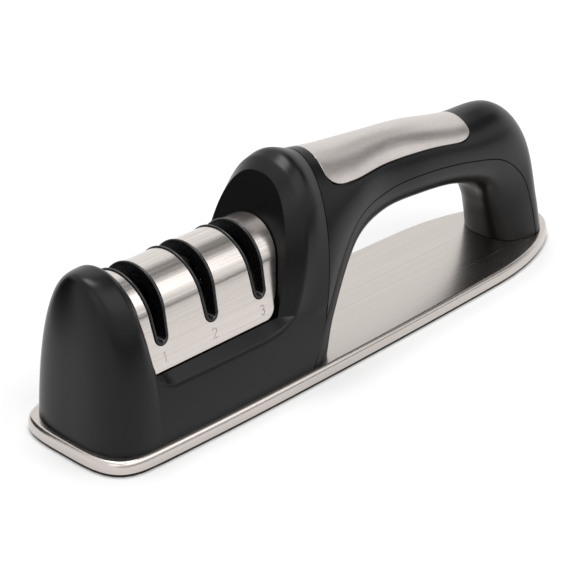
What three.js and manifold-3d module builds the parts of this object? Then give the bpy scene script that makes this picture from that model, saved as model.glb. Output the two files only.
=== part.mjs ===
// Pull-through kitchen knife sharpener: a three-slot head, a lofted loop handle and a steel base plate.
// Millimetres, +Z up. Origin under the middle of the base plate; the head points to -X.
import * as THREE from 'three';
import { mergeVertices } from 'three/addons/utils/BufferGeometryUtils.js';
import Module from 'manifold-3d';

const wasm = await Module();
wasm.setup();

// Driving dimensions: base
const plateLength = 240;
const plateHalfWidth = 27;
const plateWidestFromFront = 70;
const plateFrontNarrowing = 1.8;
const plateTailNarrowing = 4;
const plateNoseDepth = 20.8;
const plateNoseExponent = 3.8;
const plateTailDepth = 52;
const plateTop = 5.3;
const plateSheet = 1.2;
const plateRimRadius = 2.2;
const soleThickness = 1;
const soleMargin = 0.5;

// Driving dimensions: head housing
const headMargin = 2.5;
const headTop = 57.7;
const headExponent = 2.08;
const headNosePlanExponent = 3.1;
const headNoseRiseExponent = 12;
const headNoseLean = 0.09;
const capCrownRise = 2.9;
const capCrownRun = 5;
const capCrownExponent = 2.25;
const headWall = 2.4;
const sillHeight = 27.1;
const shoulderDrop = 3.5;
const sillHalfWidth = 18.4;
const capLip = 0.5;
const saddleLength = 56;
const columnFaceTop = 70.2;
const columnFaceSweep = 10.6;
const columnRimTop = 73.6;
const columnRimSweep = 9.8;
const columnRimSetback = 5;
const columnExponent = 2.35;
const columnCrownTop = 75.2;
const columnCrownRun = 5;
const columnCrownExponent = 2.2;
const stepRun = 0.2;

// Driving dimensions: slots and steel cover
const coverRadius = 14.5;
const coverCentreHeight = 41.8;
const coverFlare = THREE.MathUtils.degToRad(13);
const coverSheet = 0.8;
const firstSlotSetback = 7.6;
const slotPitch = 21.6;
const slotEndWidth = 6;
const slotTopWidth = 8.8;
const slotEndHeight = 35;
const lipWidth = 1;
const lipProud = 0.5;
const coreWall = 1.6;
const channelDepth = 4.4;

// Driving dimensions: sharpening stages
const edgeHeight = 37;
const edgeHalfAngle = THREE.MathUtils.degToRad(20);
const wheelRadius = 10;
const grooveDepth = 4;
const wheelThickness = 2.6;
const wheelChamfer = 0.4;
const axleRadius = 1.5;
const bearingWall = 1.6;
const bearingRise = 3;
const carrierHalfWidth = 10.6;
const carrierWall = 2;
const carrierFloorTop = 20;
const carbideThickness = 1.5;
const carbideWidth = 3.5;
const carbideAbove = 5.5;
const carbideBelow = 7;
const carbideWeb = 1.2;
const carbideHolderHalf = 3.2;
const rivetRadius = 1;
const rivetHeadRadius = 1.7;
const rivetHeadHeight = 1;
const rivetDrop = 5;
const domeShare = 0.6;

// Driving dimensions: handle
const collarTop = 73;
const collarLean = 0.157;
const collarFootSetback = 11.9;
const collarFootRun = 6.8;
const collarJointHeight = 21.5;
const handleWall = 2.4;
const shellExponent = 2;
const linerExponent = 2.4;
const gripHalfWidth = 13;
const gripShoulderHalfWidth = 17;
const legHalfWidth = 14.6;
const legTailMargin = 17.5;
const inlaySheet = 1.2;
const inlayFront = 1.27;
const inlayRear = 5.02;
const inlayFrontRound = 0.5;
const inlayRearRound = 0.35;
const inlayFrontDrop = 10;
const inlayRearDrop = 6.8;
const inlayFrontCornerDrop = 5;
const inlayRearCornerDrop = 3.6;

// Driving dimensions: screws
const screwRadius = 1.5;
const screwHeadRadius = 3;
const screwHeadHeight = 2;
const screwLength = 14;
const bossRadius = 3.8;
const bossHeight = 15;
const headScrewInset = 5.4;
const headScrewSetback = 5;
const legScrewSpread = 12;
const legScrewInset = 6;
const tailScrewInset = 4.8;

// Clearances, and how far a cutting tool runs past what it cuts
const fitGap = 0.3;
const seatGap = 0.1;
const turnGap = 0.15;
const overcut = 1;

// Places worked out from the sizes above
const plateFront = -plateLength / 2;
const plateTail = plateLength / 2;
const footHeight = plateTop + seatGap;
const noseShoulder = plateFront + plateNoseDepth;
const shoulderHeight = sillHeight - shoulderDrop;
const saddleFront = noseShoulder + capLip;
const saddleRear = saddleFront + saddleLength;
const slotCentres = [0, 1, 2].map((n) => saddleFront + firstSlotSetback + n * slotPitch);
const axleHeight = edgeHeight - wheelRadius + grooveDepth;
const wheelReach = turnGap + wheelThickness;
const wheelStages = slotCentres.slice(1);
const collarFoot = saddleRear + collarFootSetback;
const legFoot = plateTail - legTailMargin;
const legFront = THREE.MathUtils.lerp(collarFoot, legFoot, 0.884);
const legRear = THREE.MathUtils.lerp(collarFoot, legFoot, 1.075);
const screwSeat = plateTop - plateSheet - seatGap;
const screwTip = screwSeat + screwLength;

// Materials
function finish(color, roughness, metalness) {
  return new THREE.MeshStandardMaterial({ color, roughness, metalness });
}

const blackAbs = finish('#343337', 0.5, 0);
const brushedSteel = finish('#c9c4bf', 0.35, 1);
const blackRubber = finish('#1b1b1c', 0.85, 0);
const zincSteel = finish('#a9abad', 0.4, 1);
const carbide = finish('#77787a', 0.35, 1);
const diamondGrit = finish('#8d8c88', 0.75, 0.4);
const whiteCeramic = finish('#ece8df', 0.6, 0);

const model = new THREE.Group();

function addPart(name, geometry, material, parent = model) {
  const mesh = new THREE.Mesh(geometry, material);
  mesh.name = name;
  parent.add(mesh);
  return mesh;
}

// Closed body from matching rings; each end is closed by strips between point i and its opposite
function loft(rings) {
  const count = rings[0].length;
  const index = [];
  const quad = (a, b, c, d) => index.push(a, b, c, a, c, d);
  for (let ring = 0; ring < rings.length - 1; ring++) {
    for (let i = 0; i < count; i++) {
      const here = ring * count + i;
      const next = ring * count + ((i + 1) % count);
      quad(here, next, next + count, here + count);
    }
  }
  const last = (rings.length - 1) * count;
  for (let i = 0; i < count / 2 - 1; i++) {
    const across = count - 1 - i;
    quad(i, across, across - 1, i + 1);
    quad(last + i, last + i + 1, last + across - 1, last + across);
  }
  const geometry = new THREE.BufferGeometry().setFromPoints(rings.flat());
  geometry.setIndex(index);
  return signedVolume(geometry) < 0 ? flipped(geometry) : geometry;
}

function signedVolume(geometry) {
  const [a, b, c] = [new THREE.Vector3(), new THREE.Vector3(), new THREE.Vector3()];
  const points = geometry.getAttribute('position');
  let sum = 0;
  for (let i = 0; i < geometry.index.count; i += 3) {
    a.fromBufferAttribute(points, geometry.index.getX(i));
    b.fromBufferAttribute(points, geometry.index.getX(i + 1));
    c.fromBufferAttribute(points, geometry.index.getX(i + 2));
    sum += a.dot(b.cross(c)) / 6;
  }
  return sum;
}

function flipped(geometry) {
  const index = Array.from(geometry.index.array);
  for (let i = 0; i < index.length; i += 3) {
    [index[i], index[i + 1]] = [index[i + 1], index[i]];
  }
  geometry.setIndex(index);
  return geometry;
}

// Solids for joining and cutting
function solid(geometry) {
  const bare = geometry.clone();
  bare.deleteAttribute('normal');
  bare.deleteAttribute('uv');
  const merged = mergeVertices(bare, 1e-4);
  const vertProperties = new Float32Array(merged.getAttribute('position').array);
  const triVerts = new Uint32Array(merged.index.array);
  return new wasm.Manifold(new wasm.Mesh({ numProp: 3, vertProperties, triVerts }));
}

function surface(body) {
  const mesh = body.getMesh();
  const geometry = new THREE.BufferGeometry();
  geometry.setAttribute('position', new THREE.BufferAttribute(mesh.vertProperties, 3));
  geometry.setIndex(new THREE.BufferAttribute(mesh.triVerts, 1));
  return geometry;
}

const joined = (bodies) => bodies.reduce((sum, body) => sum.add(body));
const cutBy = (body, tools) => tools.reduce((rest, tool) => rest.subtract(tool), body);

function box(x0, x1, y0, y1, z0, z1) {
  const geometry = new THREE.BoxGeometry(x1 - x0, y1 - y0, z1 - z0);
  return geometry.translate((x0 + x1) / 2, (y0 + y1) / 2, (z0 + z1) / 2);
}

function uprightCylinder(radius, x, y, z0, z1, sides = 10) {
  const geometry = new THREE.CylinderGeometry(radius, radius, z1 - z0, sides);
  return geometry.rotateX(Math.PI / 2).translate(x, y, (z0 + z1) / 2);
}

// Outline in the XZ plane carried across the whole width
function acrossWidth(shape, halfWidth) {
  const options = { depth: 2 * halfWidth, bevelEnabled: false, curveSegments: 6 };
  const geometry = new THREE.ExtrudeGeometry(shape, options);
  return geometry.rotateX(Math.PI / 2).translate(0, halfWidth, 0);
}

// Superellipse quarter: along and across are the shares of its two half axes
const quarter = (angle, exponent) => ({
  along: Math.sin(angle) ** (2 / exponent),
  across: Math.cos(angle) ** (2 / exponent),
});

const closeLoop = (near) => [...near, ...near.map((p) => new THREE.Vector3(p.x, -p.y, p.z)).reverse()];

// Base plate outline: bowed sides, a square-round nose and an elliptical tail
function plateHalf(x) {
  const fromWidest = x - plateFront - plateWidestFromFront;
  const inFront = fromWidest < 0;
  const run = Math.abs(fromWidest) / (inFront ? plateWidestFromFront : plateLength - plateWidestFromFront);
  return plateHalfWidth - (inFront ? plateFrontNarrowing : plateTailNarrowing) * Math.min(run, 1) ** 2;
}

function plateRing(inset, z) {
  const near = [];
  const tailCentre = plateTail - plateTailDepth;
  for (const degrees of [84, 72, 60, 48, 36, 24, 12]) {
    const { along, across } = quarter(THREE.MathUtils.degToRad(degrees), plateNoseExponent);
    const x = noseShoulder - (plateNoseDepth - inset) * along;
    near.push(new THREE.Vector3(x, -(plateHalf(x) - inset) * across, z));
  }
  for (let i = 0; i <= 6; i++) {
    const x = THREE.MathUtils.lerp(noseShoulder, tailCentre, i / 6);
    near.push(new THREE.Vector3(x, -(plateHalf(x) - inset), z));
  }
  for (const degrees of [10, 20, 30, 40, 50, 60, 70, 78, 85]) {
    const { along, across } = quarter(THREE.MathUtils.degToRad(degrees), 2);
    const x = tailCentre + (plateTailDepth - inset) * along;
    near.push(new THREE.Vector3(x, -(plateHalf(x) - inset) * across, z));
  }
  return closeLoop(near);
}

// Wall of the head from its foot up: a superellipse on the plate's outline
const headHalf = (x) => plateHalf(x) - headMargin;

function wallHalf(x, z, crown = headTop, exponent = headExponent) {
  const share = (z - footHeight) / (crown - footHeight);
  return headHalf(x) * (1 - share ** exponent) ** (1 / exponent);
}

const headScrewPlaces = [noseShoulder, saddleRear + headScrewSetback].flatMap((x) => [
  [x, headScrewInset - headHalf(x)],
  [x, headHalf(x) - headScrewInset],
]);
const legScrewPlaces = [
  [legFront + legScrewInset, -legScrewSpread / 2],
  [legFront + legScrewInset, legScrewSpread / 2],
];
const tailScrewPlace = [legRear - tailScrewInset, 0];
const carrierScrewPlaces = [
  [(slotCentres[0] + slotCentres[1]) / 2, 0],
  [(slotCentres[1] + slotCentres[2]) / 2, 0],
];
const screwPlaces = [...headScrewPlaces, ...legScrewPlaces, tailScrewPlace, ...carrierScrewPlaces];

function bores(places, radius, z0, z1) {
  return places.map(([x, y]) => solid(uprightCylinder(radius, x, y, z0, z1)));
}

// Formed steel tray, rolled over at the rim
function basePlate() {
  const rings = [plateRing(0, soleThickness), plateRing(0, plateTop - plateRimRadius)];
  for (const degrees of [30, 60, 90]) {
    const angle = THREE.MathUtils.degToRad(degrees);
    const z = plateTop - plateRimRadius * (1 - Math.sin(angle));
    rings.push(plateRing(plateRimRadius * (1 - Math.cos(angle)), z));
  }
  const inside = loft([
    plateRing(plateSheet, 0),
    plateRing(plateSheet, plateTop - plateRimRadius),
    plateRing(plateRimRadius, plateTop - plateSheet),
  ]);
  const holes = bores(screwPlaces, screwRadius + turnGap, 0, plateTop + overcut);
  return surface(cutBy(solid(loft(rings)), [solid(inside), ...holes]));
}

// Rubber sole: a flange under the rim and a panel that fills the tray
function solePad() {
  const panelTop = plateTop - plateSheet - fitGap;
  const flange = solid(loft([plateRing(soleMargin, 0), plateRing(soleMargin, soleThickness - seatGap)]));
  const inset = plateRimRadius + fitGap;
  const panel = solid(loft([plateRing(inset, soleThickness / 2), plateRing(inset, panelTop)]));
  return surface(cutBy(flange.add(panel), bores(screwPlaces, screwHeadRadius + fitGap, -overcut, plateTop)));
}

// Shares of the turn from side to crown at which an upper section has points, just short of the middle
const archShares = Array.from({ length: 9 }, (_, i) => i / 8.5);

// Upper part of a section: a superellipse from a start height
function arch(half, springing, crown, exponent, startHeight = springing) {
  const start = Math.asin(((startHeight - springing) / (crown - springing)) ** (exponent / 2));
  return archShares.map((share) => {
    const { along, across } = quarter(THREE.MathUtils.lerp(start, Math.PI / 2, share), exponent);
    return { y: half * across, z: springing + (crown - springing) * along };
  });
}

function saddleFloor(inset) {
  return archShares.map((share) => ({ y: (sillHalfWidth - inset) * (1 - share), z: sillHeight - inset }));
}

function lowWall(x, inset, crown, exponent) {
  const heights = [footHeight, (footHeight + shoulderHeight) / 2, shoulderHeight];
  return heights.map((z) => ({ y: wallHalf(x, z, crown, exponent) - inset, z }));
}

// Whole section of the cap; swell grows from nothing at its rear edge to one at its crown
function capSection(x, inset, swell) {
  const crown = headTop + capCrownRise * swell;
  const exponent = THREE.MathUtils.lerp(headExponent, capCrownExponent, swell);
  const top = arch(headHalf(x) - inset, footHeight, crown - inset, exponent, sillHeight);
  return [...lowWall(x, inset, crown, exponent), ...top];
}

// The column's face leans back as a plane; its rim sweeps back less and less with height
const riseShare = (z, crown) => THREE.MathUtils.clamp((z - sillHeight) / (crown - sillHeight), 0, 1);
const columnFace = (x) => (z) => x + columnFaceSweep * riseShare(z, columnFaceTop);
const columnRim = (x) => (z) => x + columnRimSweep * (1 - (1 - riseShare(z, columnRimTop)) ** 2);

// Rear end of the head: a leaning collar plane, running forward to the foot below the handle joint
function collarPlane(z) {
  const jointX = collarFoot + collarFootRun;
  if (z >= collarJointHeight) return jointX + collarLean * (z - collarJointHeight);
  return collarFoot + (collarFootRun * (z - footHeight)) / (collarJointHeight - footHeight);
}

const collarHalf = wallHalf(collarFoot + collarFootRun, collarJointHeight);

function headRing(placeX, section) {
  return closeLoop(section.map(({ y, z }) => new THREE.Vector3(placeX(z), -y, z)));
}

// Head skin from nose to collar; an inset one is the hollow, which runs on out of the collar
function headSkin(inset) {
  const rings = [];
  const shoulder = noseShoulder - inset;
  const noseDepth = shoulder - plateFront - headMargin - inset;
  for (const degrees of [84, 73, 62, 50, 36, 22, 10, 5, 2, 0]) {
    const { along, across } = quarter(THREE.MathUtils.degToRad(degrees), headNosePlanExponent);
    const rise = (1 - along ** headNoseRiseExponent) ** (1 / headNoseRiseExponent);
    const swell = 1 - (1 - Math.min(1, (noseDepth * along) / capCrownRun)) ** 2;
    const section = capSection(noseShoulder, inset, swell).map(({ y, z }) => ({
      y: y * across,
      z: footHeight + (z - footHeight) * rise,
    }));
    rings.push(headRing((z) => shoulder - along * (noseDepth - headNoseLean * (z - footHeight)), section));
  }
  const front = saddleFront - inset;
  const rear = saddleRear + inset;
  const rim = rear + columnRimSetback;
  const face = arch(sillHalfWidth - inset, sillHeight - inset, columnFaceTop - inset, columnExponent);
  const edge = arch(wallHalf(rim, sillHeight) - inset, sillHeight, columnRimTop - inset, columnExponent);
  const ridge = rim + columnCrownRun;
  const ridgeHalf = wallHalf(ridge, sillHeight) - inset;
  const crown = arch(ridgeHalf, sillHeight, columnCrownTop - inset, columnCrownExponent);
  const collar = arch(collarHalf - inset, collarJointHeight, collarTop - inset, 2, sillHeight);
  const overrun = inset > 0 ? overcut : 0;
  rings.push(headRing(() => front - stepRun, capSection(front, inset, 0)));
  rings.push(headRing(() => front, [...lowWall(front, inset), ...saddleFloor(inset)]));
  rings.push(headRing(() => rear, [...lowWall(rear, inset), ...saddleFloor(inset)]));
  rings.push(headRing(columnFace(rear + stepRun), [...lowWall(rear, inset), ...face]));
  rings.push(headRing(columnRim(rim), [...lowWall(rim, inset), ...edge]));
  rings.push(headRing(columnRim(ridge), [...lowWall(ridge, inset), ...crown]));
  rings.push(headRing((z) => collarPlane(z) + overrun, [...lowWall(collarFoot, inset), ...collar]));
  return rings;
}

// The hollow's floor drops below the foot so that the underside is open
function openBelow(ring) {
  return ring.map((p) => (p.z > footHeight + seatGap ? p : p.clone().setZ(footHeight - overcut)));
}

function headHousing() {
  const outer = solid(loft(headSkin(0)));
  const hollow = solid(loft(headSkin(headWall).map(openBelow)));
  const bosses = bores(headScrewPlaces, bossRadius, footHeight, footHeight + bossHeight);
  const shell = joined([outer.subtract(hollow), ...bosses.map((boss) => boss.intersect(outer))]);
  const half = carrierHalfWidth + fitGap;
  const [x0, x1] = [saddleFront + fitGap, saddleRear - fitGap];
  const windowFoot = sillHeight - headWall - overcut;
  const saddleWindow = box(x0, x1, -half, half, windowFoot, sillHeight + overcut);
  const pilots = bores(headScrewPlaces, screwRadius + turnGap, 0, screwTip + fitGap);
  return surface(cutBy(shell, [solid(saddleWindow), ...pilots]));
}

// Cover section: a round arch whose sides flare out below it; offset is measured inwards
function coverSection(offset, bottom) {
  const radius = coverRadius - offset;
  const tangentHeight = coverCentreHeight + radius * Math.sin(coverFlare);
  const foot = radius * Math.cos(coverFlare) + (tangentHeight - bottom) * Math.tan(coverFlare);
  const top = archShares.map((share) => {
    const angle = THREE.MathUtils.lerp(coverFlare, Math.PI / 2, share);
    return { y: radius * Math.cos(angle), z: coverCentreHeight + radius * Math.sin(angle) };
  });
  return [{ y: foot, z: bottom }, ...top];
}

// Solid arch between the cap's rear face and the column's front face, with a gap at each end
function saddleArch(offset, bottom, endGap) {
  const section = coverSection(offset, bottom);
  const ends = [() => saddleFront + endGap, columnFace(saddleRear - endGap)];
  return solid(loft(ends.map((end) => headRing(end, section))));
}

// Three tapered slots with round lower ends, cut across the whole width
function slotTools(inset) {
  const endHalf = slotEndWidth / 2 - inset;
  const topHalf = slotTopWidth / 2 - inset;
  const endCentre = slotEndHeight + slotEndWidth / 2;
  const top = coverCentreHeight + coverRadius + lipProud + overcut;
  return slotCentres.map((x) => {
    const shape = new THREE.Shape();
    shape.moveTo(x - topHalf, top);
    shape.lineTo(x - endHalf, endCentre);
    shape.absarc(x, endCentre, endHalf, Math.PI, 2 * Math.PI, false);
    shape.lineTo(x + topHalf, top);
    shape.closePath();
    return solid(acrossWidth(shape, plateHalfWidth));
  });
}

// Bent sheet with the three slots
function steelCover() {
  const bottom = sillHeight + fitGap;
  const sheet = saddleArch(0, bottom, fitGap).subtract(saddleArch(coverSheet, bottom - overcut, 0));
  return surface(cutBy(sheet, slotTools(0)));
}

// Moulded core under the cover; its slot lips stand through the steel and run inwards as guide channels
function slotCore() {
  const bottom = sillHeight + seatGap;
  const skin = coverSheet + fitGap;
  const inner = bottom - overcut;
  const shell = saddleArch(skin, bottom, 2 * fitGap).subtract(saddleArch(skin + coreWall, inner, 0));
  const lips = saddleArch(-lipProud, bottom, 2 * fitGap).subtract(saddleArch(channelDepth, inner, 0));
  const channels = slotTools(fitGap).map((slot) => slot.intersect(lips));
  const wheelRoom = wheelStages.map((x) => {
    const reach = wheelReach + fitGap;
    return solid(alongX(wheelRadius + 2 * fitGap, x - reach, x + reach, axleHeight));
  });
  return surface(cutBy(joined([shell, ...channels]), [...slotTools(fitGap + lipWidth), ...wheelRoom]));
}

// Carrier that stands on the plate and holds the three stages up inside the core
function stageCarrier() {
  const half = carrierHalfWidth;
  const bearingOuter = wheelReach + fitGap + bearingWall;
  const front = slotCentres[0] - carbideHolderHalf;
  const rear = slotCentres[2] + bearingOuter;
  const floorBottom = carrierFloorTop - carrierWall;
  const pieces = [box(front, rear, -half, half, floorBottom, carrierFloorTop)];
  pieces.push(box(front, rear, -half, carrierWall - half, footHeight, floorBottom + seatGap));
  pieces.push(box(front, rear, half - carrierWall, half, footHeight, floorBottom + seatGap));
  for (const x of wheelStages) {
    for (const side of [-1, 1]) {
      const faces = [side * (wheelReach + fitGap), side * bearingOuter].sort((a, b) => a - b);
      const top = axleHeight + bearingRise;
      pieces.push(box(x + faces[0], x + faces[1], -half, half, carrierFloorTop - seatGap, top));
    }
  }
  const holder = slotCentres[0];
  const plateFoot = edgeHeight - carbideBelow - carbideWidth * Math.sin(edgeHalfAngle);
  const reach = carbideHolderHalf;
  pieces.push(box(holder - reach, holder + reach, -half / 2, half / 2, carrierFloorTop - seatGap, plateFoot));
  const web = carbideWeb / 2;
  pieces.push(box(holder - reach, holder + reach, -web, web, plateFoot - seatGap, edgeHeight - carbideWeb));
  const posts = bores(carrierScrewPlaces, bossRadius, footHeight, floorBottom + seatGap);
  const notches = wheelStages.map((x) => {
    const notch = axleRadius + turnGap;
    const [x0, x1] = [x - bearingOuter - overcut, x + bearingOuter + overcut];
    const slit = box(x0, x1, -notch, notch, axleHeight, axleHeight + bearingRise + overcut);
    return solid(slit).add(solid(alongX(notch, x0, x1, axleHeight)));
  });
  const pilots = bores(carrierScrewPlaces, screwRadius + turnGap, 0, screwTip + fitGap);
  const rivetHole = solid(alongY(rivetRadius + turnGap, holder, half, edgeHeight - rivetDrop));
  return surface(cutBy(joined([...pieces.map(solid), ...posts]), [...notches, ...pilots, rivetHole]));
}

function alongX(radius, x0, x1, z, sides = 20) {
  const geometry = new THREE.CylinderGeometry(radius, radius, x1 - x0, sides);
  return geometry.rotateZ(Math.PI / 2).translate((x0 + x1) / 2, 0, z);
}

function alongY(radius, x, halfLength, z, sides = 16) {
  return new THREE.CylinderGeometry(radius, radius, 2 * halfLength, sides).translate(x, 0, z);
}

// Carbide plate in its own plane: a long cutting edge through the origin, which is the bottom of the V
function carbidePlate() {
  const plate = box(0, carbideWidth, 0, carbideThickness, -carbideBelow, carbideAbove);
  const rivetX = rivetDrop * Math.sin(edgeHalfAngle);
  const rivetZ = -rivetDrop * Math.cos(edgeHalfAngle);
  const hole = alongY(rivetRadius + turnGap, rivetX, 2 * carbideThickness, rivetZ);
  return surface(solid(plate).subtract(solid(hole)));
}

// Through rivet with two domed heads
function carbideRivet() {
  const grip = carbideWeb / 2 + turnGap + carbideThickness + turnGap;
  const profile = [
    [0, -grip - rivetHeadHeight],
    [rivetHeadRadius * domeShare, -grip - rivetHeadHeight],
    [rivetHeadRadius, -grip],
    [rivetRadius, -grip],
    [rivetRadius, grip],
    [rivetHeadRadius, grip],
    [rivetHeadRadius * domeShare, grip + rivetHeadHeight],
    [0, grip + rivetHeadHeight],
  ];
  return turned(profile, 12);
}

function turned(profile, sides) {
  return new THREE.LatheGeometry(profile.map(([r, h]) => new THREE.Vector2(r, h)), sides);
}

// Sharpening wheel turned about its axle: the bevel of two facing wheels forms the V
function sharpeningWheel() {
  const bevelRun = grooveDepth * Math.tan(edgeHalfAngle);
  const bore = axleRadius + turnGap / 2;
  const profile = [
    [bore, 0],
    [wheelRadius - grooveDepth, 0],
    [wheelRadius, bevelRun],
    [wheelRadius, wheelThickness - wheelChamfer],
    [wheelRadius - wheelChamfer, wheelThickness],
    [bore, wheelThickness],
    [bore, 0],
  ];
  return turned(profile, 24);
}

// Handle: a joint curve along each side, a crown curve over it and a loop curve under it
function curve(points) {
  return new THREE.CatmullRomCurve3(points.map((point) => new THREE.Vector3(...point)));
}

// Places on the handle: shares of the way from collar to leg, and of the way from plate to collar top
const reachTo = (share) => THREE.MathUtils.lerp(collarFoot, legFoot, share);
const riseTo = (share) => THREE.MathUtils.lerp(footHeight, collarTop, share);
const legShinHalfWidth = (gripHalfWidth + legHalfWidth) / 2;

const jointCurve = curve([
  [collarFoot + fitGap, wallHalf(collarFoot, footHeight), footHeight],
  [collarFoot + collarFootRun + fitGap, collarHalf, collarJointHeight],
  [reachTo(0.216), gripShoulderHalfWidth, riseTo(0.615)],
  [reachTo(0.366), gripHalfWidth, riseTo(0.67)],
  [reachTo(0.531), gripHalfWidth, riseTo(0.669)],
  [reachTo(0.719), gripHalfWidth, riseTo(0.612)],
  [reachTo(0.854), gripHalfWidth, riseTo(0.531)],
  [reachTo(0.942), gripHalfWidth, riseTo(0.374)],
  [reachTo(0.977), legShinHalfWidth, riseTo(0.194)],
  [legFoot, legHalfWidth, footHeight],
]);
const crownCurve = curve([
  [collarPlane(collarTop) + fitGap, 0, collarTop],
  [reachTo(0.239), 0, riseTo(0.962)],
  [reachTo(0.381), 0, riseTo(0.938)],
  [reachTo(0.539), 0, riseTo(0.902)],
  [reachTo(0.726), 0, riseTo(0.831)],
  [reachTo(0.892), 0, riseTo(0.802)],
  [reachTo(0.994), 0, riseTo(0.627)],
  [reachTo(1.051), 0, riseTo(0.231)],
  [legRear, 0, footHeight],
]);
const loopCurve = curve([
  [reachTo(0.118), 0, footHeight],
  [reachTo(0.138), 0, riseTo(0.201)],
  [reachTo(0.251), 0, riseTo(0.426)],
  [reachTo(0.383), 0, riseTo(0.5)],
  [reachTo(0.539), 0, riseTo(0.497)],
  [reachTo(0.696), 0, riseTo(0.453)],
  [reachTo(0.809), 0, riseTo(0.357)],
  [reachTo(0.848), 0, riseTo(0.223)],
  [reachTo(0.868), 0, riseTo(0.105)],
  [legFront, 0, footHeight],
]);
const lastStation = 9;

// Where the section at a station starts, which way it rises and how far
function sectionAt(station, towards) {
  const joint = jointCurve.getPoint(station / lastStation);
  const crownShare = Math.max(station - 1, 0) / (lastStation - 1);
  const loopShare = station / lastStation;
  const peak = towards === 'crown' ? crownCurve.getPoint(crownShare) : loopCurve.getPoint(loopShare);
  const root = new THREE.Vector3(joint.x, 0, joint.z);
  const rise = peak.clone().sub(root);
  const reach = rise.length();
  rise.normalize();
  const gap = fitGap / 2;
  return { root: root.addScaledVector(rise, gap), rise, reach: reach - gap, half: joint.y };
}

function sectionPoint({ root, rise, reach, half }, angle, exponent, inset) {
  const { along, across } = quarter(Math.min(angle, Math.PI - angle), exponent);
  const side = angle < Math.PI / 2 ? -1 : 1;
  const point = root.clone().addScaledVector(rise, (reach - inset) * along);
  point.y = side * (half - inset) * across;
  return point;
}

function sectionArc(section, exponent, inset, from = 0, steps = 12) {
  const points = [];
  for (let i = 0; i < steps; i++) {
    const angle = THREE.MathUtils.lerp(from, Math.PI - from, i / (steps - 1));
    points.push(sectionPoint(section, angle, exponent, inset));
  }
  return points;
}

function stationList(from, to, step) {
  const count = Math.ceil((to - from) / step);
  return Array.from({ length: count + 1 }, (_, i) => THREE.MathUtils.lerp(from, to, i / count));
}

// Both halves share their stations along the joint; the lower one also runs down beside the head
const crownStations = stationList(1, lastStation, 0.36);
const loopStations = [...stationList(0, 1, 0.36).slice(0, -1), ...crownStations];

// Half of the handle as a wall of even thickness, with bosses inside for screws from below
function handleHalf(stations, towards, exponent, screws, pockets) {
  const sections = stations.map((station) => sectionAt(station, towards));
  const outside = sections.map((section) => sectionArc(section, exponent, 0));
  const inside = sections.map((section) => sectionArc(section, exponent, handleWall));
  const wall = solid(loft(outside.map((points, i) => [...points, ...inside[i].slice().reverse()])));
  const full = solid(loft(outside));
  const posts = bores(screws, bossRadius, footHeight, footHeight + bossHeight);
  const bosses = posts.map((post) => post.intersect(full));
  const pilots = bores(screws, screwRadius + turnGap, 0, screwTip + fitGap);
  return surface(cutBy(joined([wall, ...bosses]), [...pilots, ...pockets]));
}

// Edge of the grip inlay, as a drop below the crown: straight ends with rounded corners
const cornerShare = (run) => 1 - Math.sqrt(1 - THREE.MathUtils.clamp(run, 0, 1) ** 2);

function inlayEdge(station) {
  const share = (station - inlayFront) / (inlayRear - inlayFront);
  const front = cornerShare((inlayFront + inlayFrontRound - station) / inlayFrontRound);
  const rear = cornerShare((station - inlayRear + inlayRearRound) / inlayRearRound);
  const straight = THREE.MathUtils.lerp(inlayFrontDrop, inlayRearDrop, share);
  const drop = straight - inlayFrontCornerDrop * front - inlayRearCornerDrop * rear;
  return Math.asin(1 - drop / sectionAt(station, 'crown').reach);
}

// Runs into a corner, closer together where its edge turns fastest
const cornerRuns = [1, 0.95, 0.87, 0.74, 0.55, 0.3, 0];

function inlayBody(grow, above, below) {
  const growAngle = grow / gripHalfWidth;
  const middle = (inlayFront + inlayRear) / 2;
  const stretch = 1 + (2 * grow) / slotPitch / (inlayRear - inlayFront);
  const stations = [
    ...cornerRuns.map((run) => inlayFront + inlayFrontRound * (1 - run)),
    ...stationList(inlayFront + inlayFrontRound, inlayRear - inlayRearRound, 0.25).slice(1, -1),
    ...cornerRuns.map((run) => inlayRear - inlayRearRound * (1 - run)).reverse(),
  ];
  const rings = stations.map((station) => {
    const edge = inlayEdge(station) - growAngle;
    const section = sectionAt(middle + (station - middle) * stretch, 'crown');
    const top = sectionArc(section, shellExponent, -above, edge, 10);
    const bottom = sectionArc(section, shellExponent, below, edge, 10);
    return [...top, ...bottom.reverse()];
  });
  return loft(rings);
}

// Screw with a pan head, driven up from below
function screw() {
  return turned([
    [0, -screwHeadHeight],
    [screwHeadRadius * domeShare, -screwHeadHeight],
    [screwHeadRadius, -screwHeadHeight * domeShare],
    [screwHeadRadius, 0],
    [screwRadius, 0],
    [screwRadius, screwLength - screwRadius],
    [0, screwLength],
  ], 8);
}

// Assembly: base, housing and sharpening head
addPart('base_plate', basePlate(), brushedSteel);
addPart('sole_pad', solePad(), blackRubber);
addPart('head_housing', headHousing(), blackAbs);
addPart('steel_cover', steelCover(), brushedSteel);
addPart('slot_core', slotCore(), blackAbs);
addPart('stage_carrier', stageCarrier(), blackAbs);

// Stage one: two crossed carbide plates on a through rivet
for (const [name, side] of [['carbide_plate_front', -1], ['carbide_plate_rear', 1]]) {
  const stage = new THREE.Group();
  stage.position.set(slotCentres[0], 0, edgeHeight);
  stage.rotation.z = side > 0 ? 0 : Math.PI;
  const plate = addPart(name, carbidePlate(), carbide, stage);
  plate.position.y = carbideWeb / 2 + turnGap;
  plate.rotation.y = edgeHalfAngle;
  model.add(stage);
}
addPart('carbide_rivet', carbideRivet(), zincSteel).position.set(slotCentres[0], 0, edgeHeight - rivetDrop);

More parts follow.
